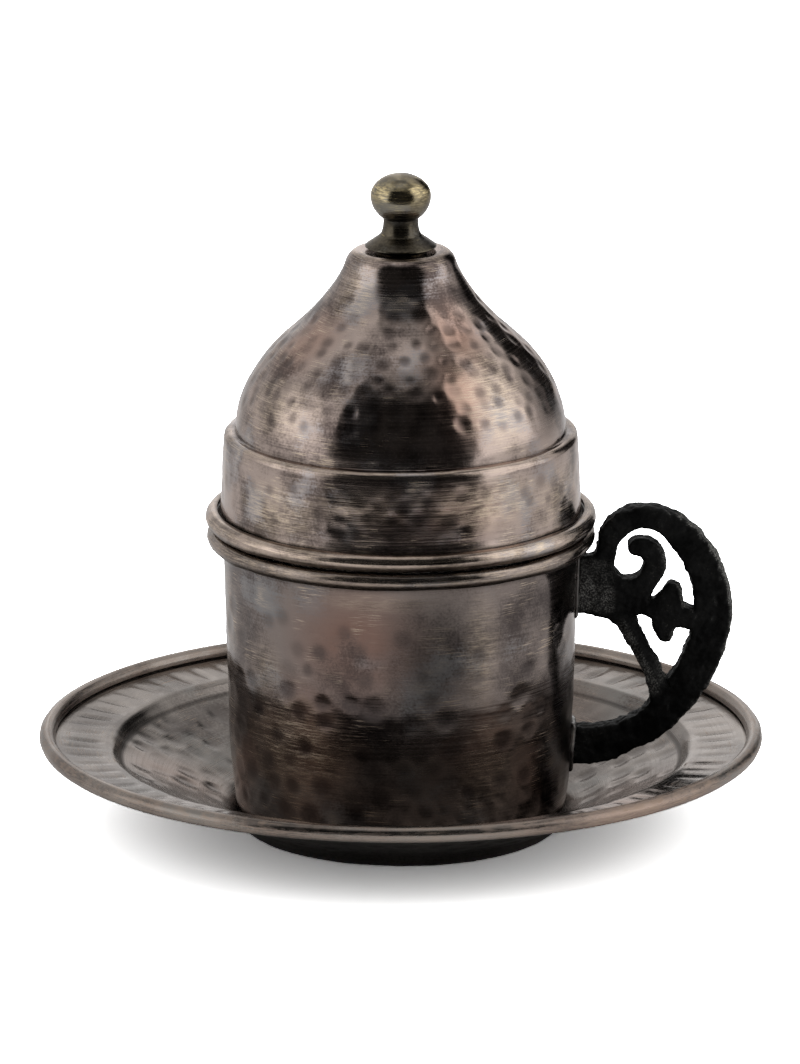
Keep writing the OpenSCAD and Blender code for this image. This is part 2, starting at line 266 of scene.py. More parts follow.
def patchMask(places, patches):  # soft patches, each (turn, height, half width, half height, strength)
    turn = frontTurn(places)
    around = fromAxis(places)
    mask = np.zeros(len(places))
    for middle, height, halfWidth, halfHeight, strength in patches:
        aside = np.mod(turn - middle + 180, 360) - 180
        across = np.radians(aside) * around / (halfWidth * mm)
        rise = (places[:, 2] - height * mm) / (halfHeight * mm)
        mask = np.maximum(mask, strength * unit(1.35 - np.hypot(across, rise)))
    return mask


def nearLine(places, radius, height, reach):  # 1 on the circle at that radius and height, 0 beyond the reach
    return unit(1 - np.hypot(fromAxis(places) - radius, places[:, 2] - height) / reach)


beadSkin = 0.5 * mm  # how far a mask reaches from a rolled edge's outside


def nearBead(places, radius, height, size):
    away = np.hypot(fromAxis(places) - radius, places[:, 2] - height)
    return unit(1 - np.abs(away - size / 2) / beadSkin)


def lowerHalf(places, height):  # 1 below the middle of a rolled edge
    return unit((height - 0.3 * mm - places[:, 2]) / beadSkin)


def most(*masks):
    return np.maximum.reduce(masks)


def weightGroup(piece, name, weights):
    group = piece.vertex_groups.new(name=name)
    for i in np.nonzero(weights > 0.001)[0]:
        group.add([int(i)], float(weights[i]), "REPLACE")


def readWeights(piece, name):  # the weights of a vertex group after the modifiers
    index = piece.vertex_groups[name].index
    found = np.zeros(len(piece.data.vertices))
    for i, point in enumerate(piece.data.vertices):
        for entry in point.groups:
            if entry.group == index:
                found[i] = entry.weight
    return found


def roughen(piece, name, size, depth, **more):  # moves the surface in and out by soft clouds
    clouds = bpy.data.textures.new(name, "CLOUDS")
    clouds.noise_scale = size
    clouds.noise_depth = 2
    applyModifier(
        piece, "DISPLACE", texture=clouds, strength=depth, mid_level=0.5, texture_coords="LOCAL", **more,
    )


# presses the marks in, each mask to its depth, makes the sheet uneven and gives it its thickness
def finishSheet(piece, sheet, masks, wave, depth, still=None):
    around = fromAxis(meshPoints(piece))
    wavy = np.ones(len(around)) if still is None else np.clip((still - around) / (2 * mm), 0.05, 1)
    for name, weights in masks.items():
        weightGroup(piece, name, weights)
        applyModifier(piece, "DISPLACE", strength=-depth[name], mid_level=0, vertex_group=name)
    weightGroup(piece, "unevenness", wavy)
    roughen(piece, piece.name + "Wave", wave["size"], wave["depth"], vertex_group="unevenness")
    piece.vertex_groups.remove(piece.vertex_groups["unevenness"])
    applyModifier(
        piece, "SOLIDIFY", thickness=sheet, offset=0, use_even_offset=True, material_offset=1, use_rim=True,
    )
    for name in masks:
        found = readWeights(piece, name)
        piece.vertex_groups.remove(piece.vertex_groups[name])
        storeMask(piece, name, found)


# Shader groups and materials

floatSocket = "NodeSocketFloat"
colourSocket = "NodeSocketColor"


def newGroup(name, inputs, outputs):
    tree = bpy.data.node_groups.new(name, "ShaderNodeTree")
    for title, value in inputs.items():
        kind = colourSocket if isinstance(value, tuple) else floatSocket
        socket = tree.interface.new_socket(name=title, in_out="INPUT", socket_type=kind)
        socket.default_value = value
    for title in outputs:
        kind = colourSocket if title == "Colour" else floatSocket
        tree.interface.new_socket(name=title, in_out="OUTPUT", socket_type=kind)
    return tree, tree.nodes.new("NodeGroupInput").outputs, tree.nodes.new("NodeGroupOutput").inputs


def giveOut(tree, result, values):
    for title, value in values.items():
        tree.links.new(value, result[title])


def put(tree, kind, inputs=None, **settings):
    made = tree.nodes.new(kind)
    for key, value in settings.items():
        setattr(made, key, value)
    for key, value in (inputs or {}).items():
        if isinstance(value, bpy.types.NodeSocket):
            tree.links.new(value, made.inputs[key])
        else:
            made.inputs[key].default_value = value
    return made


def mathNode(tree, operation, a, b=0.0, c=0.5):
    return put(tree, "ShaderNodeMath", {0: a, 1: b, 2: c}, operation=operation).outputs[0]


def times(tree, a, b):
    return mathNode(tree, "MULTIPLY", a, b)


def plus(tree, a, b):
    return mathNode(tree, "ADD", a, b)


def between(tree, value, low, high, toLow=0.0, toHigh=1.0):
    inputs = {"Value": value, "From Min": low, "From Max": high, "To Min": toLow, "To Max": toHigh}
    return put(tree, "ShaderNodeMapRange", inputs, interpolation_type="SMOOTHSTEP").outputs[0]


def mixColour(tree, factor, a, b):
    return put(tree, "ShaderNodeMix", {0: factor, 6: a, 7: b}, data_type="RGBA").outputs[2]


def objectPlace(tree):
    return put(tree, "ShaderNodeTexCoord").outputs["Object"]


def noise(tree, vector, scale, detail=2.0, roughness=0.55):
    inputs = {"Vector": vector, "Scale": scale, "Detail": detail, "Roughness": roughness}
    return put(tree, "ShaderNodeTexNoise", inputs).outputs[0]


def colour(r, g, b):
    return (r, g, b, 1.0)


def makeLapMarks():  # fine lines round the axis, as left by abrasive on a lathe
    tree, given, result = newGroup(
        "lapMarks", {"Lines": 3200.0, "Run": 50.0, "Lean": 0.0, "Patches": 170.0},
        ("Lines", "Scratches", "Glints"),
    )
    place = objectPlace(tree)
    x, y, z = put(tree, "ShaderNodeSeparateXYZ", {0: place}).outputs
    square = plus(tree, times(tree, x, x), times(tree, y, y))
    radius = mathNode(tree, "SQRT", square)
    along = plus(tree, z, times(tree, radius, given["Lean"]))

    def streaks(runTimes, linesTimes):
        run = times(tree, given["Run"], runTimes)
        lines = times(tree, given["Lines"], linesTimes)
        return put(tree, "ShaderNodeCombineXYZ", {
            0: times(tree, x, run), 1: times(tree, y, run),
            2: times(tree, along, lines),
        }).outputs[0]

    lines = between(tree, noise(tree, streaks(1.0, 1.0), 1.0, 3.0, 0.65), 0.3, 0.7)
    short = between(tree, noise(tree, streaks(8.0, 2.2), 1.0, 1.0, 0.5), 0.56, 0.72)
    patch = between(tree, noise(tree, place, given["Patches"], 2.0), 0.48, 0.66)
    glints = between(tree, noise(tree, streaks(14.0, 1.5), 1.0, 2.0, 0.6), 0.4, 0.62)
    giveOut(tree, result, {"Lines": lines, "Glints": glints, "Scratches": times(tree, short, patch)})
    return tree


def makeOldFinish():  # darkened metal that handling and brushing have rubbed through in places
    tree, given, result = newGroup(
        "oldFinish",
        {
            "Dark": colour(0.05, 0.04, 0.04), "Middle": colour(0.15, 0.12, 0.11),
            "Rubbed": colour(0.4, 0.25, 0.18), "Cool": colour(0.14, 0.14, 0.17),
            "Rosy": colour(0.17, 0.1, 0.08), "Blotches": 60.0, "Rub": 0.5, "Lines": 0.5, "Scratches": 0.0,
            "Dents": 0.0, "WearAndSheen": 0.0, "Blush": 0.0, "ShadeAndGrime": 0.0, "Glints": 0.5,
        },
        ("Colour", "Rub", "Grain"),
    )
    place = objectPlace(tree)
    shifted = put(tree, "ShaderNodeMapping", {"Vector": place, "Location": (0.31, 0.17, 0.23)}).outputs[0]
    big = noise(tree, place, given["Blotches"], 3.0, 0.55)
    other = noise(tree, shifted, given["Blotches"], 2.0, 0.5)
    grain = noise(tree, place, 2400.0, 3.0, 0.6)
    broken = between(tree, given["Lines"], 0.05, 0.9, 0.45, 1.0)
    streaky = times(tree, mathNode(tree, "SUBTRACT", given["Lines"], 0.5), 0.07)
    speckle = times(tree, mathNode(tree, "SUBTRACT", grain, 0.5), 0.3)
    streaky = plus(tree, streaky, speckle)
    mottled = plus(tree, big, streaky)
    base = mixColour(tree, between(tree, mottled, 0.3, 0.64), given["Dark"], given["Middle"])
    cooled = between(tree, plus(tree, other, streaky), 0.52, 0.7)
    base = mixColour(tree, cooled, base, given["Cool"])
    blush = times(tree, given["Blush"], between(tree, mottled, 0.25, 0.6, 0.2, 0.9))
    base = mixColour(tree, blush, base, given["Rosy"])
    low = mathNode(tree, "SUBTRACT", 0.8, times(tree, given["Rub"], 0.42))
    patches = between(tree, other, mathNode(tree, "SUBTRACT", low, 0.05), plus(tree, low, 0.2))
    # the wear mask brings real rubbing and also painted highlights: bright edge lines, lighter rolled beads
    # and a lighter band on the knob's ball
    worn = mathNode(tree, "MAXIMUM", patches, given["WearAndSheen"])
    speckled = times(tree, worn, mathNode(tree, "MULTIPLY_ADD", given["Glints"], 0.75, 0.25))
    rub = times(tree, speckled, broken)
    rub = mathNode(tree, "MAXIMUM", rub, times(tree, given["Scratches"], 0.7))
    clean = mathNode(tree, "SUBTRACT", 1.0, times(tree, given["Dents"], 0.8))
    rub = times(tree, rub, clean)
    tone = mixColour(tree, rub, base, given["Rubbed"])
    tone = mixColour(tree, times(tree, given["Dents"], 0.68), tone, given["Dark"])
    # painted shade, partly grime: the mask darkens creases, undersides, shaded sides and unwanted
    # reflections towards near black
    shadeAndGrimeAmount = times(tree, given["ShadeAndGrime"], between(tree, grain, 0.2, 0.6, 1.0, 0.8))
    tone = mixColour(tree, shadeAndGrimeAmount, tone, colour(0.012, 0.010, 0.009))
    giveOut(tree, result, {"Colour": tone, "Rub": rub, "Grain": grain})
    return tree


def makeCastGrain():  # the pitted skin of a sand casting
    tree, given, result = newGroup("castGrain", {"Scale": 900.0}, ("Height", "Specks"))
    place = objectPlace(tree)
    fine = noise(tree, place, given["Scale"], 4.0, 0.65)
    pitScale = times(tree, given["Scale"], 1.3)
    pits = put(tree, "ShaderNodeTexVoronoi", {"Vector": place, "Scale": pitScale}).outputs[0]
    specks = noise(tree, place, times(tree, given["Scale"], 3.0), 1.0)
    height = plus(tree, fine, times(tree, pits, 0.35))
    giveOut(tree, result, {"Height": height, "Specks": between(tree, specks, 0.6, 0.72)})
    return tree


lapMarks = makeLapMarks()
oldFinish = makeOldFinish()
castGrain = makeCastGrain()


def newMaterial(name, **plain):
    material = bpy.data.materials.new(name)
    material.use_nodes = True
    shader = material.node_tree.nodes["Principled BSDF"]
    for key, value in plain.items():
        shader.inputs[key].default_value = value
    return material, material.node_tree, shader


def placeGroup(tree, group, inputs):
    return put(tree, "ShaderNodeGroup", inputs, node_tree=group)


def readMask(tree, name):
    return put(tree, "ShaderNodeAttribute", attribute_name=name).outputs["Fac"]


fineBump = 0.02 * mm
castBump = 0.14 * mm
solderBump = 0.06 * mm
glazeBump = 0.2 * mm


def finishShader(tree, shader, tone, rough, strength, distance, height):
    bump = put(tree, "ShaderNodeBump", {"Strength": strength, "Distance": distance, "Height": height})
    giveOut(tree, shader.inputs, {"Base Color": tone, "Roughness": rough, "Normal": bump.outputs[0]})


def oldMetal(name, look):  # every old metal piece carries the four masks
    material, tree, shader = newMaterial(name, Metallic=1.0)
    shader.inputs["Specular Tint"].default_value = look["edgeTint"]
    marks = {title: look[title.lower()] for title in ("Lines", "Run", "Lean", "Patches")}
    laps = placeGroup(tree, lapMarks, marks).outputs
    tones = ("Dark", "Middle", "Rubbed", "Cool", "Rosy", "Blotches", "Rub")
    finish = placeGroup(tree, oldFinish, {
        **{title: look[title.lower()] for title in tones},
        **{title: laps[title] for title in ("Lines", "Scratches", "Glints")},
        **{title: readMask(tree, title.lower()) for title in ("Dents", "WearAndSheen", "Blush", "ShadeAndGrime")},
    }).outputs
    rough = between(tree, laps["Lines"], 0.0, 1.0, look["smooth"], look["rough"])
    rough = plus(tree, rough, times(tree, finish["Rub"], look["rubRough"]))
    dull = times(tree, readMask(tree, "shadeandgrime"), 0.25)
    rough = plus(tree, rough, dull)
    height = plus(tree, times(tree, laps["Lines"], 0.7), times(tree, finish["Grain"], 0.5))
    finishShader(tree, shader, finish["Colour"], rough, look["bump"], fineBump, height)
    return material


copperBase = {
    "dark": colour(0.060, 0.049, 0.047), "middle": colour(0.205, 0.170, 0.155),
    "rubbed": colour(0.60, 0.485, 0.375), "cool": colour(0.190, 0.183, 0.184),
    "rosy": colour(0.185, 0.112, 0.090), "edgeTint": colour(0.9, 0.88, 0.87),
    "lines": 3200.0, "run": 32.0, "lean": 0.0, "patches": 150.0, "blotches": 85.0, "rub": 0.3,
    "smooth": 0.13, "rough": 0.21, "rubRough": 0.24, "bump": 0.2,
}
holderCopper = oldMetal("holderCopper", copperBase)
lidCopper = oldMetal("lidCopper", {
    **copperBase, "dark": colour(0.075, 0.058, 0.053), "middle": colour(0.40, 0.322, 0.285),
    "cool": colour(0.29, 0.27, 0.278), "rosy": colour(0.36, 0.215, 0.160),
    "rubbed": colour(0.74, 0.60, 0.455), "lean": -1.0,
    "rub": 0.44, "blotches": 110.0, "smooth": 0.11, "rough": 0.19,
})
saucerCopper = oldMetal("saucerCopper", {
    **copperBase, "dark": colour(0.100, 0.087, 0.080), "middle": colour(0.255, 0.228, 0.207),
    "cool": colour(0.195, 0.187, 0.176), "rosy": colour(0.25, 0.175, 0.142),
    "rubbed": colour(0.42, 0.32, 0.255), "lean": 1.0,
    "rub": 0.34, "smooth": 0.15, "rough": 0.25, "rubRough": 0.45, "blotches": 60.0,
})


def makeTin():
    material, tree, shader = newMaterial("tinLining", Metallic=1.0)
    laps = placeGroup(tree, lapMarks, {"Lines": 1500.0, "Run": 60.0, "Lean": 1.0, "Patches": 120.0}).outputs
    place = objectPlace(tree)
    cloud = noise(tree, place, 140.0, 4.0, 0.6)
    clouded = between(tree, cloud, 0.35, 0.65)
    tone = mixColour(tree, clouded, colour(0.36, 0.35, 0.335), colour(0.56, 0.55, 0.53))
    scratched = times(tree, laps["Scratches"], 0.4)
    tone = mixColour(tree, scratched, tone, colour(0.7, 0.69, 0.67))
    rough = between(tree, cloud, 0.3, 0.7, 0.28, 0.44)
    finishShader(tree, shader, tone, rough, 0.3, fineBump, plus(tree, cloud, laps["Lines"]))
    return material


def makeBlackCasting():
    material, tree, shader = newMaterial("blackCasting")
    shader.inputs["Specular IOR Level"].default_value = 0.07
    cast = placeGroup(tree, castGrain, {"Scale": 1100.0}).outputs
    place = objectPlace(tree)
    cloud = noise(tree, place, 260.0, 3.0, 0.6)
    clouded = between(tree, cloud, 0.38, 0.62)
    tone = mixColour(tree, clouded, colour(0.0015, 0.0015, 0.0015), colour(0.005, 0.005, 0.0048))
    specks = times(tree, cast["Specks"], between(tree, cloud, 0.5, 0.75))
    tone = mixColour(tree, times(tree, specks, 0.35), tone, colour(0.06, 0.056, 0.048))
    fine = noise(tree, place, 3800.0, 3.0, 0.65)
    # painted sheen: where the mask says, the black is lifted to grey and speckled lighter
    worn = times(tree, readMask(tree, "wearandsheen"), between(tree, cloud, 0.36, 0.58, 0.35, 1.0))
    tone = mixColour(tree, times(tree, worn, 0.45), tone, colour(0.032, 0.031, 0.030))
    paintedSheen = times(tree, worn, between(tree, fine, 0.46, 0.64))
    tone = mixColour(tree, paintedSheen, tone, colour(0.17, 0.166, 0.155))
    rough = between(tree, cast["Height"], 0.3, 0.9, 0.66, 0.46)
    finishShader(tree, shader, tone, rough, 0.8, castBump, cast["Height"])
    return material


def makeSolder():
    material, tree, shader = newMaterial("softSolder", Metallic=1.0)
    place = objectPlace(tree)
    cloud = noise(tree, place, 420.0, 3.0, 0.6)
    grain = placeGroup(tree, castGrain, {"Scale": 1500.0}).outputs
    # painted glint: the solder turns near white where its mask is high
    paintedGlint = times(tree, readMask(tree, "wearandsheen"), between(tree, cloud, 0.28, 0.42))
    tone = mixColour(tree, paintedGlint, colour(0.075, 0.068, 0.064), colour(0.72, 0.71, 0.69))
    rough = between(tree, cloud, 0.35, 0.7, 0.5, 0.22)
    finishShader(tree, shader, tone, rough, 0.4, solderBump, grain["Height"])
    return material


def makeSteel(name, tone, lines):
    material, tree, shader = newMaterial(name, Metallic=1.0)
    laps = placeGroup(tree, lapMarks, {"Lines": lines, "Run": 30.0, "Lean": 0.4, "Patches": 300.0}).outputs
    place = objectPlace(tree)
    spots = between(tree, noise(tree, place, 900.0, 4.0, 0.7), 0.5, 0.72)
    dull = tuple(0.45 * c for c in tone[:3]) + (1.0,)
    spotted = mixColour(tree, times(tree, spots, 0.7), tone, dull)
    rough = between(tree, laps["Lines"], 0.0, 1.0, 0.24, 0.42)
    finishShader(tree, shader, spotted, rough, 0.3, fineBump, laps["Lines"])
    return material


def makeGlaze():  # white glaze, with a worn gilt line where the piece's mask says
    material, tree, shader = newMaterial("whiteGlaze")
    shader.inputs["Coat Weight"].default_value = 0.6
    shader.inputs["Coat Roughness"].default_value = 0.04
    place = objectPlace(tree)
    cloud = noise(tree, place, 90.0, 3.0, 0.55)
    specks = between(tree, noise(tree, place, 1900.0, 1.0), 0.74, 0.78)
    body = mixColour(tree, cloud, colour(0.80, 0.785, 0.745), colour(0.86, 0.85, 0.82))
    body = mixColour(tree, times(tree, specks, 0.5), body, colour(0.42, 0.36, 0.28))
    worn = between(tree, noise(tree, place, 1300.0, 3.0, 0.7), 0.32, 0.42)
    gilt = times(tree, readMask(tree, "gilt"), worn)
    gilded = mixColour(tree, gilt, body, colour(0.68, 0.46, 0.17))
    tree.links.new(gilt, shader.inputs["Metallic"])
    finishShader(tree, shader, gilded, between(tree, cloud, 0.0, 1.0, 0.10, 0.2), 0.12, glazeBump, cloud)
    return material


tinLining = makeTin()
knobBrass = oldMetal("knobBrass", {
    **copperBase, "dark": colour(0.055, 0.048, 0.038), "middle": colour(0.21, 0.178, 0.125), "lines": 4200.0,
    "cool": colour(0.15, 0.143, 0.128), "rubbed": colour(0.78, 0.63, 0.34), "blotches": 130.0, "run": 55.0,
    "lean": 0.6, "patches": 420.0, "rub": 0.25, "smooth": 0.11, "rough": 0.21, "rubRough": 0.12, "bump": 0.4,
})
blackCasting = makeBlackCasting()
softSolder = makeSolder()
rimWireSteel = makeSteel("rimWireSteel", colour(0.42, 0.42, 0.42), 2600.0)
screwSteel = makeSteel("screwSteel", colour(0.55, 0.55, 0.56), 5200.0)
whiteGlaze = makeGlaze()
print("materials made")


# Saucer: one hammered sheet with a foot, a sloping floor, a step, a fluted band and a rolled edge

saucer = {
    "sheet": 0.8 * mm, "bead": 2.8 * mm, "curl": 290,
    "foot": 27.3 * mm, "footRun": 2.9 * mm, "footRise": 3.2 * mm,
    "band": 8.6 * mm, "stepRise": 2.0 * mm, "stepRun": 1.7 * mm, "ringRun": 0.9 * mm,
    "hiddenSpacing": 1.6 * mm, "floorSpacing": 0.9 * mm, "bandSpacing": 0.52 * mm,
    "flutes": 72, "stepsPerFlute": 7, "fluteHalf": 0.85 * mm, "fluteDepth": 0.27 * mm,
    "dentDepth": 0.26 * mm, "waveSize": 13 * mm, "waveDepth": 0.45 * mm, "seed": 11,
    "rings": (6, 11, 16, 21, 33.6, 38.2, 42.8, 46),  # radii of the rows of hammer marks, in millimetres
    "pitch": 5.6 * mm, "mark": 5.4 * mm, "faintest": 0.15, "underCup": 0.55, "beadWearAndSheen": 0.5,
    "polished": [(45, 16, 22, 8, 1.0), (165, 16, 20, 8, 1.0)],
    "blush": [
        (38, 15, 20, 4, 0.9), (-40, 9, 14, 6, 0.6), (70, 9, 12, 5, 0.8), (150, 8, 18, 6, 0.6),
        (-90, 8, 9, 5, 0.7),
    ],
}


def makeSaucer():
    low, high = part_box("saucer_plate")
    s = saucer
    half = s["sheet"] / 2
    curl = (s["bead"] - s["sheet"]) / 2
    rimR, rimZ = high.x - s["bead"] / 2, high.z - s["bead"] / 2
    bandOuterZ = rimZ - curl
    bandInnerR = rimR - s["bead"] / 2 - s["band"]
    bandInnerZ = bandOuterZ - s["band"] / 8
    ringR = bandInnerR - s["ringRun"]
    stepR, stepZ = ringR - s["stepRun"], bandInnerZ - s["stepRise"]
    corners = softLine([
        (0, half, 0), (s["foot"] - 0.4 * mm, half, 0.8 * mm),
        (s["foot"] + s["footRun"], s["footRise"] + half, 1.2 * mm),
        (stepR, stepZ, 0.6 * mm), (ringR, bandInnerZ, 0.4 * mm), (rimR - 1.2 * mm, bandOuterZ - 0.1 * mm, 0),
    ])
    hiddenR = s["foot"] - 1.5 * mm
    path = spaced([
        ([p for p in corners if p[0] < hiddenR] + [(hiddenR, half)], s["hiddenSpacing"]),
        ([p for p in corners if hiddenR < p[0] < stepR - mm], s["floorSpacing"]),
        ([p for p in corners if p[0] > stepR - mm] + arcLine((rimR, rimZ), curl, -90, s["curl"] - 90, 20),
         s["bandSpacing"]),
    ])
    piece = spinProfile("saucerPlate", path, s["flutes"] * s["stepsPerFlute"])
    faceTowards(piece, (40 * mm, 0, 8 * mm), (0, 0, 1))
    angle, radius, along = onProfile(piece, path)
    chance = np.random.default_rng(s["seed"])
    line = np.array(path)
    length = lengthAlong(line)
    rows = []
    for i, ring in enumerate(s["rings"]):
        at = float(np.interp(ring * mm, line[:-20, 0], length[:-20]))
        rows.append(markRow(at, s["pitch"], s["mark"], i, s["faintest"]))
    dents = hammerMarks(angle, radius, along, rows, chance) * np.where(radius < s["foot"], s["underCup"], 1)
    inner, outer = bandInnerR + 0.4 * mm, rimR - s["bead"] / 2 - 1.3 * mm
    inFlute = unit((radius - inner) / (outer - inner))
    window = np.where((inFlute > 0) & (inFlute < 1), np.sin(np.pi * inFlute) ** 0.5, 0)
    window = window * (meshPoints(piece)[:, 2] < rimZ)
    fluteTurn = angle / math.tau * s["flutes"]
    number = np.mod(np.round(fluteTurn), s["flutes"]).astype(int)
    shift = chance.uniform(-0.07, 0.07, s["flutes"])[number]
    across = np.abs(fluteTurn - np.round(fluteTurn) - shift) * math.tau / s["flutes"] * radius
    groove = unit(1 - (across / s["fluteHalf"]) ** 2)
    flutes = window * groove * chance.uniform(0.5, 1.0, s["flutes"])[number]
    finishSheet(
        piece, s["sheet"], {"dents": dents, "flutes": flutes},
        {"size": s["waveSize"], "depth": s["waveDepth"]},
        {"dents": s["dentDepth"], "flutes": s["fluteDepth"]}, still=rimR - s["bead"] / 2 - 0.6 * mm,
    )
    places = meshPoints(piece)
    places[:, 2] = np.maximum(places[:, 2], low.z)
    movePoints(piece, places)
    # painted shade: faces turned down, the step crease, the line inside the rolled edge and the ring round
    # the foot are darkened; the flute grooves hold patina
    shadedUnderside = unit(-4 * meshNormals(piece)[:, 2]) * (fromAxis(places) < rimR - s["bead"] / 2)
    inGroove = 0.3 * np.array([value.value for value in piece.data.attributes["flutes"].data])
    storeMask(piece, "shadeandgrime", most(
        shadedUnderside, inGroove,
        0.9 * nearLine(places, stepR - 0.1 * mm, stepZ + half, 0.7 * mm),
        0.3 * nearLine(places, rimR - s["bead"] / 2, bandOuterZ + half, 0.4 * mm),
        0.6 * nearLine(places, s["foot"] + 0.4 * mm, half * 2, 2.5 * mm),
    ))
    onBead = nearBead(places, rimR, rimZ, s["bead"])
    # the rolled edge is painted lighter, partly real wear and partly a painted highlight
    storeMask(piece, "wearandsheen", onBead * np.maximum(s["beadWearAndSheen"], patchMask(places, s["polished"])))
    storeMask(piece, "blush", patchMask(places, s["blush"]))
    smoothShade(piece)
    settle(piece, "saucer", ["saucer_plate"], [saucerCopper, saucerCopper])


# Holder: hammered body with a rounded foot and a rolled rim

holder = {
    "sheet": 0.8 * mm, "bead": 3.1 * mm, "curl": 290,
    "flare": 0.6 * mm, "flareRise": 3.4 * mm, "taper": 1.8 * mm, "corner": 4.6 * mm,
    "hiddenSpacing": 1.5 * mm, "spacing": 0.52 * mm, "steps": 360,
    "dentDepth": 0.12 * mm, "waveSize": 10 * mm, "waveDepth": 0.36 * mm, "seed": 23,
    "firstRow": 3.5, "rowRise": 4.1, "rows": 9, "marks": (4.3, 4.8),  # in millimetres
    "rowLean": 0.13, "pitch": 5.2 * mm,
    "floorRings": (5, 9.5, 14, 18.5), "floorPitch": 4.6 * mm, "floorMark": 4.2 * mm,
    "beadWearAndSheen": 0.5, "beadDirtAndShade": 0.8, "footDarkening": 0.8,
    "polished": [
        (27, 38, 3.2, 9, 0.52), (-38, 20, 10, 8, 1.0), (30, 18, 6, 8, 0.4), (-8, 47.5, 9, 1.6, 0.3),
        (-128, 34, 6, 9, 0.7), (158, 28, 8, 8, 0.55), (-78, 40, 5, 8, 0.3), (-50, 32, 4, 6, 0.35),
    ],
    # dark patches painted over the body, standing in for shade and for dark reflections
    "darkPatches": [
        (11, 37, 8, 14, 0.72), (4, 20, 9, 9, 0.3), (76, 17, 9, 14, 0.75), (-150, 38, 9, 10, 0.3),
        (100, 20, 9, 9, 0.3),
    ],
    "blush": [(-15, 40, 11, 10, 1.0), (-33, 24, 9, 9, 0.9), (-120, 30, 9, 10, 0.8), (140, 36, 12, 8, 0.9)],
}


def makeHolder():
    low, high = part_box("holder_shell")
    h = holder
    curl = (h["bead"] - h["sheet"]) / 2
    rimR, rimZ = high.y - h["bead"] / 2, high.z - h["bead"] / 2
    beadR = rimR - curl
    topR = beadR - h["flare"]
    footR = topR - h["taper"]
    baseZ = low.z + h["sheet"] / 2
    footZ = baseZ + h["corner"]
    topZ = rimZ - h["flareRise"]
    rise = topZ - footZ
    wall = arcLine((footR - h["corner"], footZ), h["corner"], -90, -4, 9)
    wall += curveLine(
        (footR, footZ), (footR + 0.6 * h["taper"], footZ + 0.15 * rise),
        (topR - 0.35 * h["taper"], footZ + 0.54 * rise), (topR, topZ), 24,
    )
    wall += curveLine(
        (topR, topZ), (topR + 0.1 * mm, topZ + h["flareRise"] / 3), (beadR, rimZ - h["flareRise"] / 3),
        (beadR, rimZ - 0.05 * mm), 6,
    )[1:]
    wall += arcLine((rimR, rimZ), curl, 180, 180 - h["curl"], 20)[1:]
    path = spaced([([(0, baseZ), (footR - h["corner"], baseZ)], h["hiddenSpacing"]), (wall, h["spacing"])])
    piece = spinProfile("holderBody", path, h["steps"])
    faceTowards(piece, (topR, 0, (footZ + topZ) / 2), (1, 0, 0))
    angle, radius, along = onProfile(piece, path)
    chance = np.random.default_rng(h["seed"])
    wallStart = footR - h["corner"] + h["corner"] * math.pi / 2
    rows = []
    for i in range(h["rows"]):
        at = wallStart + (h["firstRow"] + h["rowRise"] * i) * mm
        faintest = -0.1 if i > 6 else 0.05
        rows.append(markRow(at, h["pitch"], h["marks"][i % 2] * mm, i, faintest, h["rowLean"] * i))
    for i, ring in enumerate(h["floorRings"]):
        rows.append(markRow(ring * mm, h["floorPitch"], h["floorMark"], i, 0.3))
    dents = hammerMarks(angle, radius, along, rows, chance)
    finishSheet(
        piece, h["sheet"], {"dents": dents}, {"size": h["waveSize"], "depth": h["waveDepth"]},
        {"dents": h["dentDepth"]},
    )
    places = meshPoints(piece)
    bead = nearBead(places, rimR, rimZ, h["bead"])
    foot = unit(1 - (places[:, 2] - low.z) / (3.5 * mm))
    # the rolled rim is painted lighter, partly real wear and partly a painted highlight
    storeMask(piece, "wearandsheen", most(patchMask(places, h["polished"]), h["beadWearAndSheen"] * bead))
    storeMask(piece, "blush", patchMask(places, h["blush"]))
    # darker towards the bottom of the foot; painted shade, partly dirt, on the rolled rim's lower half, in
    # the crease under it and in dark patches laid over reflections
    storeMask(piece, "shadeandgrime", most(
        h["footDarkening"] * foot, h["beadDirtAndShade"] * bead * lowerHalf(places, rimZ),
        h["beadDirtAndShade"] * nearLine(places, topR + 0.9 * mm, rimZ - 1.4 * mm, 1.1 * mm),
        patchMask(places, h["darkPatches"]),
    ))
    smoothShade(piece)
    settle(piece, "holder", ["holder_shell"], [holderCopper, tinLining])


# Lid: rolled edge, hammered band, ledge, onion dome and flat top

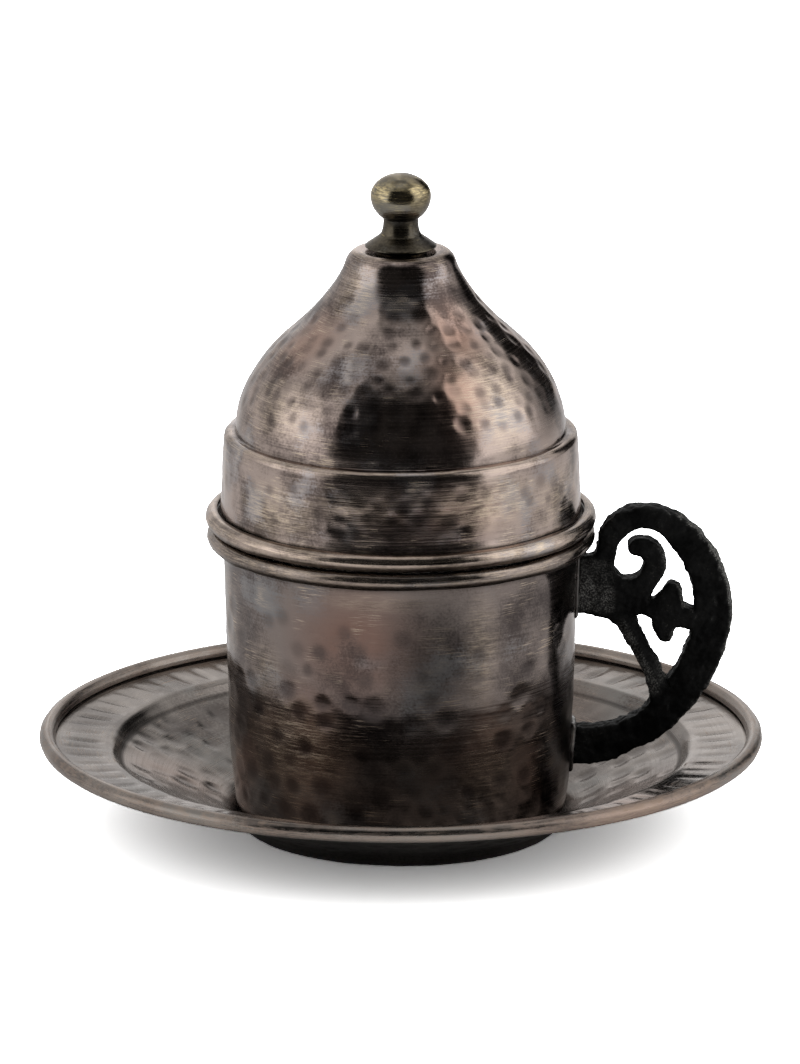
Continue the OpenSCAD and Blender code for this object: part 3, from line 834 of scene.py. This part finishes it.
lid = {
    "sheet": 0.8 * mm, "bead": 3.1 * mm, "curl": 290,
    "bandTaper": 0.9 * mm, "bandRise": 16.8 * mm, "ledge": 1.9 * mm,
    "topR": 9.1 * mm, "hole": 1.7 * mm, "shoulder": 1.8 * mm, "spacing": 0.56 * mm, "steps": 338,
    "dentDepth": 0.13 * mm, "waveSize": 8 * mm, "waveDepth": 0.26 * mm, "seed": 37, "mark": 3.2 * mm,
    "bandRows": (60.2, 62.9, 65.6), "bandPitch": 4.2 * mm, "bandDents": 0.7,  # heights in millimetres
    "domeStart": 6.4 * mm, "domeRows": 9, "domeRise": 3.05, "domePitch": 3.9 * mm,  # the rise too
    "beadWearAndSheen": 0.5, "beadDirtAndShade": 0.8,
    "darkPatches": [(66, 77, 5, 6, 0.5)],
    "polished": [
        (40, 80, 7, 7, 0.8), (-50, 78, 8, 4, 0.55), (-45, 97, 4, 4, 0.5), (30, 64, 10, 4, 0.8),
        (-45, 62, 8, 4, 0.8), (62, 62, 8, 5, 0.6), (-12, 64, 8, 3, 0.45), (150, 80, 9, 7, 0.7),
        (-130, 84, 8, 6, 0.6), (120, 62, 12, 4, 0.6), (-110, 63, 9, 4, 0.5), (180, 62, 12, 4, 0.5),
    ],
    # the blush patches high on the dome's right, at turns 24 and 35, also paint a warm highlight
    "blush": [
        (35, 90, 5, 5, 0.8), (-60, 88, 6, 5, 0.6), (24, 82, 5, 8, 0.8), (14, 63, 12, 5, 0.5),
        (-140, 80, 9, 9, 0.7), (95, 84, 8, 9, 0.6),
    ],
}


def makeLid():
    low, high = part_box("lid_shell")
    d = lid
    curl = (d["bead"] - d["sheet"]) / 2
    rimR, rimZ = high.y - d["bead"] / 2, low.z + d["bead"] / 2
    bandR = rimR - curl
    bandTopR = bandR - d["bandTaper"]
    footR = bandTopR - d["ledge"]
    ledgeTop = low.z + d["bandRise"]
    ledgeZ = ledgeTop - d["sheet"] / 2
    plateZ = high.z - d["sheet"] / 2
    domeRise = high.z - ledgeTop
    turnR = d["topR"] + 0.48 * (footR - d["topR"])
    turnZ = ledgeTop + 0.555 * domeRise
    dome = curveLine(
        (footR, ledgeZ), (footR - 0.1 * mm, ledgeTop + 0.24 * domeRise),
        (turnR + 4.8 * mm, turnZ - 3.9 * mm), (turnR, turnZ), 24,
    )
    dome += curveLine(
        (turnR, turnZ), (turnR - 4 * mm, turnZ + 3.3 * mm), (d["topR"] + 0.8 * mm, high.z - 0.16 * domeRise),
        (d["topR"], plateZ - d["shoulder"]), 24,
    )[1:]
    dome += curveLine(
        (d["topR"], plateZ - d["shoulder"]), (d["topR"] - 0.3 * mm, plateZ - 0.5 * d["shoulder"]),
        (d["topR"] - 0.8 * mm, plateZ), (d["topR"] - 2 * mm, plateZ), 8,
    )[1:]
    path = arcLine((rimR, rimZ), curl, d["curl"] - 180, -180, 20)
    path += softLine([
        (bandR, rimZ + 0.2 * mm, 0), (bandR - 0.3 * mm, rimZ + 2 * mm, 0.8 * mm),
        (bandTopR, ledgeZ, 0.9 * mm), (footR, ledgeZ, 0.4 * mm), (*dome[2], 0),
    ])
    path += dome[3:] + [(d["hole"], plateZ)]
    path = evenly(path, d["spacing"])
    piece = spinProfile("lidShell", path, d["steps"])
    faceTowards(piece, (bandTopR, 0, (rimZ + ledgeZ) / 2), (1, 0, 0))
    angle, radius, along = onProfile(piece, path)
    chance = np.random.default_rng(d["seed"])
    line = np.array(path)
    length = lengthAlong(line)

    def distanceAt(z):
        return float(length[int(np.argmin(np.abs(line[:, 1] - z)))])

    rows = []
    for i, z in enumerate(d["bandRows"]):
        rows.append(markRow(distanceAt(z * mm), d["bandPitch"], d["mark"], i, -0.2 if i == 0 else 0.2))
    start = distanceAt(ledgeTop + d["domeStart"])
    for i in range(d["domeRows"]):
        at = start + i * d["domeRise"] * mm
        rows.append(markRow(at, d["domePitch"], d["mark"], i, 0.4 if i < 6 else -0.2))
    dents = hammerMarks(angle, radius, along, rows, chance)
    dents *= np.where(meshPoints(piece)[:, 2] < ledgeZ, d["bandDents"], 1)
    finishSheet(
        piece, d["sheet"], {"dents": dents}, {"size": d["waveSize"], "depth": d["waveDepth"]},
        {"dents": d["dentDepth"]},
    )
    places = meshPoints(piece)
    bead = nearBead(places, rimR, rimZ, d["bead"])
    # painted highlights: a bright line along the ledge's edge and along the flat top's edge; the rolled edge
    # and the patches are partly real wear
    wearandsheen = most(
        1.3 * nearLine(places, bandTopR + 0.25 * mm, ledgeTop - 0.15 * mm, 0.75 * mm),
        0.6 * nearLine(places, d["topR"] - 1.1 * mm, high.z, 0.6 * mm),
        d["beadWearAndSheen"] * bead, patchMask(places, d["polished"]),
    )
    storeMask(piece, "wearandsheen", np.minimum(wearandsheen, 1))
    storeMask(piece, "blush", patchMask(places, d["blush"]))
    # painted shade, partly dirt: the crease at the dome's foot, the crease above the rolled edge and the
    # edge's lower half are darkened
    storeMask(piece, "shadeandgrime", most(
        0.6 * nearLine(places, footR + 0.2 * mm, ledgeTop, 0.5 * mm),
        0.9 * nearLine(places, bandR + 0.6 * mm, rimZ + 1.3 * mm, 0.9 * mm),
        d["beadDirtAndShade"] * bead * lowerHalf(places, rimZ), patchMask(places, d["darkPatches"]),
    ))
    smoothShade(piece)
    settle(piece, "lid", ["lid_shell"], [lidCopper, tinLining])


# Knob: turned brass ball, neck and skirt

knob = {
    "screwHole": 1.55 * mm, "holeDepth": 6 * mm, "ballR": 5.2 * mm, "neckR": 3.05 * mm, "steps": 96,
    "spacing": 0.22 * mm, "ringDepth": 0.012 * mm, "ringPitch": 0.55 * mm,
}


def makeKnob():
    low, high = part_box("lid_knob")
    k = knob
    skirtR = high.y
    tall = high.z - low.z
    ballR, neckR = k["ballR"], k["neckR"]
    ballZ = tall - 0.75 * ballR
    neckAngle = math.degrees(math.acos(neckR / ballR))
    path = [(k["screwHole"], k["holeDepth"]), (k["screwHole"], 0), (4.3 * mm, 0), (4.5 * mm, 0.55 * mm)]
    path += softLine([
        (skirtR - 0.35 * mm, 0.5 * mm, 0), (skirtR, 0.5 * mm, 0.15 * mm),
        (skirtR - 0.05 * mm, 0.85 * mm, 0.15 * mm), (neckR + 0.35 * mm, 2.75 * mm, 0.5 * mm),
        (neckR, 4.1 * mm, 0.5 * mm), (neckR - 0.05 * mm, 5.1 * mm, 0),
    ], 4)
    for a in np.linspace(-neckAngle, 0, 14):
        path.append((ballR * math.cos(math.radians(a)), ballZ + 0.92 * ballR * math.sin(math.radians(a))))
    for a in np.linspace(6, 90, 16):
        path.append((ballR * math.cos(math.radians(a)), ballZ + 0.75 * ballR * math.sin(math.radians(a))))
    path[-1] = (0, tall)
    path = evenly([(0, k["holeDepth"])] + path, k["spacing"])
    piece = spinProfile("brassKnob", [(r, z + low.z) for r, z in path], k["steps"])
    places = meshPoints(piece)
    up = (places[:, 2] - low.z) / tall
    around = fromAxis(places)
    rings = k["ringDepth"] * np.sin((places[:, 2] - low.z) * math.tau / k["ringPitch"])
    outside = around > 2 * mm
    for axis in (0, 1):
        places[:, axis] += np.where(outside, rings * places[:, axis] / np.maximum(around, mm), 0)
    movePoints(piece, places)
    # painted highlight: a lighter band round the upper ball
    storeMask(piece, "wearandsheen", 0.75 * unit(1.3 - np.abs(up - 0.8) / 0.14) * outside)
    # painted shade: the neck under the ball, the bottom edge and the lower part are darkened
    shadeandgrime = most(
        1.1 * nearLine(places, neckR + 0.6 * mm, low.z + 5.3 * mm, 1.9 * mm),
        0.7 * unit(1 - up / 0.06), 0.4 * unit((0.42 - up) / 0.05),
    )
    storeMask(piece, "shadeandgrime", np.minimum(shadeandgrime, 1))
    storeMask(piece, "blush", np.zeros(len(places)))
    # painted shade: this dents mask holds no dents; it darkens the neck
    storeMask(piece, "dents", 0.6 * unit(1 - np.abs(up - 0.3) / 0.16))
    smoothShade(piece, 32)
    settle(piece, "lid", ["lid_knob"], [knobBrass])


# Handle: black sand casting, rounded from the sawn outline and pitted

handle = {
    "voxel": 0.25 * mm, "rounding": 26, "swell": 0.26 * mm, "lumpSize": 2.2 * mm, "lumpDepth": 0.8 * mm,
    "pitSize": 0.8 * mm, "pitDepth": 0.34 * mm, "clearOfLid": 33.95 * mm, "lidHeight": 50 * mm,
    "strutTop": (39.2 * mm, 35.5 * mm), "strutFoot": (44.2 * mm, 25.5 * mm), "strutHalf": 1.9 * mm,
    "padEnd": 37.2 * mm, "padZ": 43.0 * mm, "padHalf": 5 * mm, "padTop": 47 * mm, "rimHighlightStart": 43 * mm,
}


def copyNode(node, name):  # a copy of a CAD node's mesh, as a piece of its own
    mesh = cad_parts[node].data.copy()
    piece = bpy.data.objects.new(name, mesh)
    bpy.context.scene.collection.objects.link(piece)
    cleanMesh(piece)
    return piece


def makeHandle():
    h = handle
    piece = copyNode("handle", "castHandle")
    applyModifier(piece, "REMESH", mode="VOXEL", voxel_size=h["voxel"])
    applyModifier(piece, "SMOOTH", factor=0.5, iterations=h["rounding"])
    places = meshPoints(piece)
    side = np.abs(places[:, 1])
    start, end = np.array(h["strutTop"]), np.array(h["strutFoot"])
    line = (end - start) / np.linalg.norm(end - start)
    away = places[:, [0, 2]] - start
    along = away @ line
    across = np.abs(away @ np.array((-line[1], line[0])))
    reach = np.linalg.norm(end - start)
    onStrut = unit(along / (2 * mm) + 1) * unit((reach - along) / (2 * mm) + 1)
    onStrut = onStrut * (across < h["strutHalf"])
    ridge = 1 - 0.62 * onStrut * unit(across / h["strutHalf"])  # a roof shape along the strut
    onPad = unit((h["padEnd"] - places[:, 0]) / (1.6 * mm)) * unit(
        (h["padHalf"] - np.abs(places[:, 2] - h["padZ"])) / (0.8 * mm))
    places[:, 1] *= ridge * (1 - 0.16 * onPad)
    movePoints(piece, places)
    applyModifier(piece, "DISPLACE", strength=h["swell"], mid_level=0)
    roughen(piece, "castLumps", h["lumpSize"], h["lumpDepth"])
    roughen(piece, "castPits", h["pitSize"], h["pitDepth"])
    places = meshPoints(piece)
    tall = places[:, 2] > h["lidHeight"]
    places[tall, 0] = np.maximum(places[tall, 0], h["clearOfLid"])
    movePoints(piece, places)
    # painted highlights: the outer rim facing right, one side of the strut and speckles on the pad are
    # painted lighter
    normals = meshNormals(piece)
    rimHighlight = 1.5 * unit(2 * normals[:, 0] - 0.6) * unit((places[:, 0] - h["rimHighlightStart"]) / (5 * mm))
    rimHighlight = rimHighlight * unit(normals[:, 2] + 0.9)
    onPad = onPad * np.clip((h["padTop"] - places[:, 2]) / (5 * mm), 0.35, 1)
    lit = 0.75 * onStrut * (away @ np.array((-line[1], line[0])) < 0)
    storeMask(piece, "wearandsheen", most(0.75 * onPad * (side > mm), lit, rimHighlight))
    smoothShade(piece, 60)
    settle(piece, "holder", ["handle"], [blackCasting])


# Solder: uneven fillets where the handle meets the body

solder = {
    "voxel": 0.11 * mm, "swell": {"upperSolder": 0.2 * mm, "lowerSolder": 0.42 * mm},
    "lumpSize": 3 * mm, "lumpDepth": 0.5 * mm, "glintZ": 15.7 * mm, "glintHalf": 1.7 * mm,
}


def makeSolderJoints():
    for node, name in (("upper_solder_joint", "upperSolder"), ("lower_solder_joint", "lowerSolder")):
        piece = copyNode(node, name)
        applyModifier(piece, "REMESH", mode="VOXEL", voxel_size=solder["voxel"])
        applyModifier(piece, "DISPLACE", strength=solder["swell"][name], mid_level=0)
        roughen(piece, name + "Lumps", solder["lumpSize"], solder["lumpDepth"])
        applyModifier(piece, "SMOOTH", factor=0.5, iterations=6)
        # painted glint: a band round a set height is painted bright
        away = np.abs(meshPoints(piece)[:, 2] - solder["glintZ"]) / solder["glintHalf"]
        storeMask(piece, "wearandsheen", np.clip(1.5 - away, 0.06, 1))
        smoothShade(piece, 60)
        settle(piece, "holder", [node], [softSolder])


# Porcelain cup: loose insert

cup = {
    "wall": 2.6 * mm, "foot": 18 * mm, "footRise": 1.6 * mm, "footWidth": 2.4 * mm, "bowl": 14 * mm,
    "taper": 1.8 * mm, "steps": 180, "spacing": 0.8 * mm, "waveSize": 20 * mm, "waveDepth": 0.12 * mm,
    "giltDrop": 2.6 * mm, "giltHalf": 0.45 * mm,
}


def makeCup():
    low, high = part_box("porcelain_cup")
    c = cup
    topR = high.y
    sideR = topR - c["taper"]
    base, top, wall = low.z, high.z, c["wall"]
    foot, floor = c["foot"], c["wall"] + 0.6 * mm
    under = base + c["footRise"]
    outside = softLine([
        (0, under, 0), (foot - c["footWidth"], under, 0.5 * mm), (foot - c["footWidth"], base, 0.4 * mm),
        (foot, base, 0.4 * mm), (foot + 0.3 * mm, under, 0),
    ], 4)
    outside += curveLine(
        (foot + 0.3 * mm, under), (foot + 5 * mm, under + mm), (sideR - 0.4 * mm, base + 6 * mm),
        (sideR, base + c["bowl"]), 24)[1:]
    lip = arcLine((topR - wall / 2, top - wall / 2), wall / 2, 0, 180, 14)
    inside = curveLine(
        (sideR - wall, base + c["bowl"]), (sideR - wall - 0.4 * mm, base + 8 * mm),
        (foot + 3 * mm, under + floor), (foot - 4 * mm, under + floor), 24) + [(0, under + floor)]
    path = evenly(outside + lip + inside, c["spacing"])
    path[0], path[-1] = (0, outside[0][1]), (0, inside[-1][1])
    piece = spinProfile("porcelainCup", path, c["steps"])
    roughen(piece, "thrownWave", c["waveSize"], c["waveDepth"])
    places = meshPoints(piece)
    outer = fromAxis(places) > topR - wall * 0.7
    line = unit(1.6 - np.abs(places[:, 2] - (top - c["giltDrop"])) / c["giltHalf"]) * outer
    storeMask(piece, "gilt", most(line, unit((places[:, 2] - top + 0.5 * mm) / (0.3 * mm))))
    smoothShade(piece)
    settle(piece, "cup", ["porcelain_cup"], [whiteGlaze])


makeSaucer()
makeHolder()
makeLid()
makeKnob()
makeHandle()
makeSolderJoints()
makeCup()
for node, material in (
    ("saucer_rim_wire", rimWireSteel), ("holder_rim_wire", rimWireSteel), ("lid_rim_wire", rimWireSteel),
    ("knob_screw", screwSteel), ("knob_washer", screwSteel),
):
    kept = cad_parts[node]
    kept.data.materials.clear()
    kept.data.materials.append(material)
print("pieces made")


# Table, studio and camera

table = {"front": -0.26, "back": 3.0, "side": 2.2, "albedo": 0.82, "seenTimes": 5.0}


def makeTable():
    clearSelection()
    depth = table["back"] - table["front"]
    bpy.ops.mesh.primitive_plane_add(size=1, location=(0, table["front"] + depth / 2, 0))
    floor = bpy.context.object
    floor.name = "table"
    bpy.ops.transform.resize(value=(2 * table["side"], depth, 1))
    bpy.ops.object.transform_apply(location=True, rotation=True, scale=True)
    material = bpy.data.materials.new("paleTable")
    material.use_nodes = True
    tree = material.node_tree
    tree.nodes.clear()
    ray = put(tree, "ShaderNodeLightPath").outputs
    seen = table["albedo"] * table["seenTimes"]  # the camera sees a white table that still takes the shadow
    tone = mixColour(tree, ray["Is Camera Ray"], colour(*[table["albedo"]] * 3), colour(seen, seen, seen))
    cloth = put(tree, "ShaderNodeBsdfDiffuse", {"Color": tone}).outputs[0]
    put(tree, "ShaderNodeOutputMaterial", {"Surface": cloth})
    floor.data.materials.append(material)


studio = {
    "ambient": 0.74, "dark": 0.018, "edge": 6,
    # turn from and to in degrees, 0 in front and positive towards the handle, height from and to, brightness
    "windows": {
        "right": (53, 108, -30, 58, 1.5), "rightEdge": (108, 130, -30, 40, 0.65),
        "left": (-116, -50, -30, 66, 0.72), "leftStrip": (-98, -52, -12, 36, 0.75),
        "zenith": (-220, 220, 57, 120, 0.12), "zenithTop": (-220, 220, 66, 120, 0.32),
        "top": (-220, 220, 76, 120, 0.35), "highRight": (112, 220, 34, 64, 0.85),
        "behindRight": (159, 220, -90, 34, 0.95), "behindLeft": (-168, -116, -90, 64, 0.72),
        "behind": (-220, -168, -90, 64, 1.3),
    },
}


def makeStudio():
    world = bpy.data.worlds.new("studio")
    bpy.context.scene.world = world
    world.use_nodes = True
    tree = world.node_tree
    tree.nodes.clear()
    direction = put(tree, "ShaderNodeTexCoord").outputs["Generated"]
    x, y, z = put(tree, "ShaderNodeSeparateXYZ", {0: direction}).outputs
    turn = mathNode(tree, "ARCTAN2", x, times(tree, y, -1.0))
    turn = times(tree, turn, math.degrees(1))
    height = times(tree, mathNode(tree, "ARCSINE", z), math.degrees(1))
    edge = studio["edge"]

    def within(value, low, high):
        rising = between(tree, value, low - edge, low + edge)
        return times(tree, rising, between(tree, value, high - edge, high + edge, 1.0, 0.0))

    room = studio["dark"]
    for left, right, bottom, top, brightness in studio["windows"].values():
        lit = times(tree, within(turn, left, right), within(height, bottom, top))
        room = plus(tree, room, times(tree, lit, brightness))
    ray = put(tree, "ShaderNodeLightPath").outputs
    mirrored = mathNode(tree, "MAXIMUM", ray["Is Glossy Ray"], ray["Is Transmission Ray"])
    light = mixColour(tree, mirrored, colour(*[studio["ambient"]] * 3), room)
    light = mixColour(tree, ray["Is Camera Ray"], light, colour(1, 1, 1))
    background = put(tree, "ShaderNodeBackground", {"Color": light, "Strength": 1.0}).outputs[0]
    put(tree, "ShaderNodeOutputWorld", {"Surface": background})


lamps = {
    "left": {"place": (-0.62, -0.62, 0.5), "size": 0.4, "power": 0.8},
    "right": {"place": (0.66, -0.5, 0.46), "size": 0.4, "power": 1.0},
    "over": {"place": (0.05, -0.1, 0.95), "size": 0.5, "power": 2.2},
}


def makeLamps():  # the lamps light the table and the dull pieces, and the metal mirrors the windows
    for name, lamp in lamps.items():
        clearSelection()
        bpy.ops.object.light_add(type="AREA", location=lamp["place"])
        made = bpy.context.object
        made.name = name + "Softbox"
        made.data.size = lamp["size"]
        made.data.energy = lamp["power"]
        made.visible_glossy = False
        aim = np.array((0, 0, 0.05)) - np.array(lamp["place"])
        tip = math.acos(-aim[2] / np.linalg.norm(aim))
        made.rotation_euler = (tip, 0, math.atan2(aim[1], aim[0]) - math.pi / 2)


view = {"target": (-0.00014, 0, 0.052), "distance": 1.75, "tilt": 15, "lens": 354 * 1.75 / 1.8, "sensor": 36}


def makeCamera():
    clearSelection()
    tilt = math.radians(view["tilt"])
    x, y, z = view["target"]
    away = view["distance"]
    place = (x, y - away * math.cos(tilt), z + away * math.sin(tilt))
    bpy.ops.object.camera_add(location=place, rotation=(math.pi / 2 - tilt, 0, 0))
    camera = bpy.context.object
    camera.data.sensor_fit = "VERTICAL"
    camera.data.sensor_height = view["sensor"]
    camera.data.lens = view["lens"]
    camera.data.clip_end = 20
    bpy.context.scene.camera = camera


makeTable()
makeStudio()
makeLamps()
makeCamera()
bpy.context.scene.view_settings.view_transform = "Standard"
print("studio made")
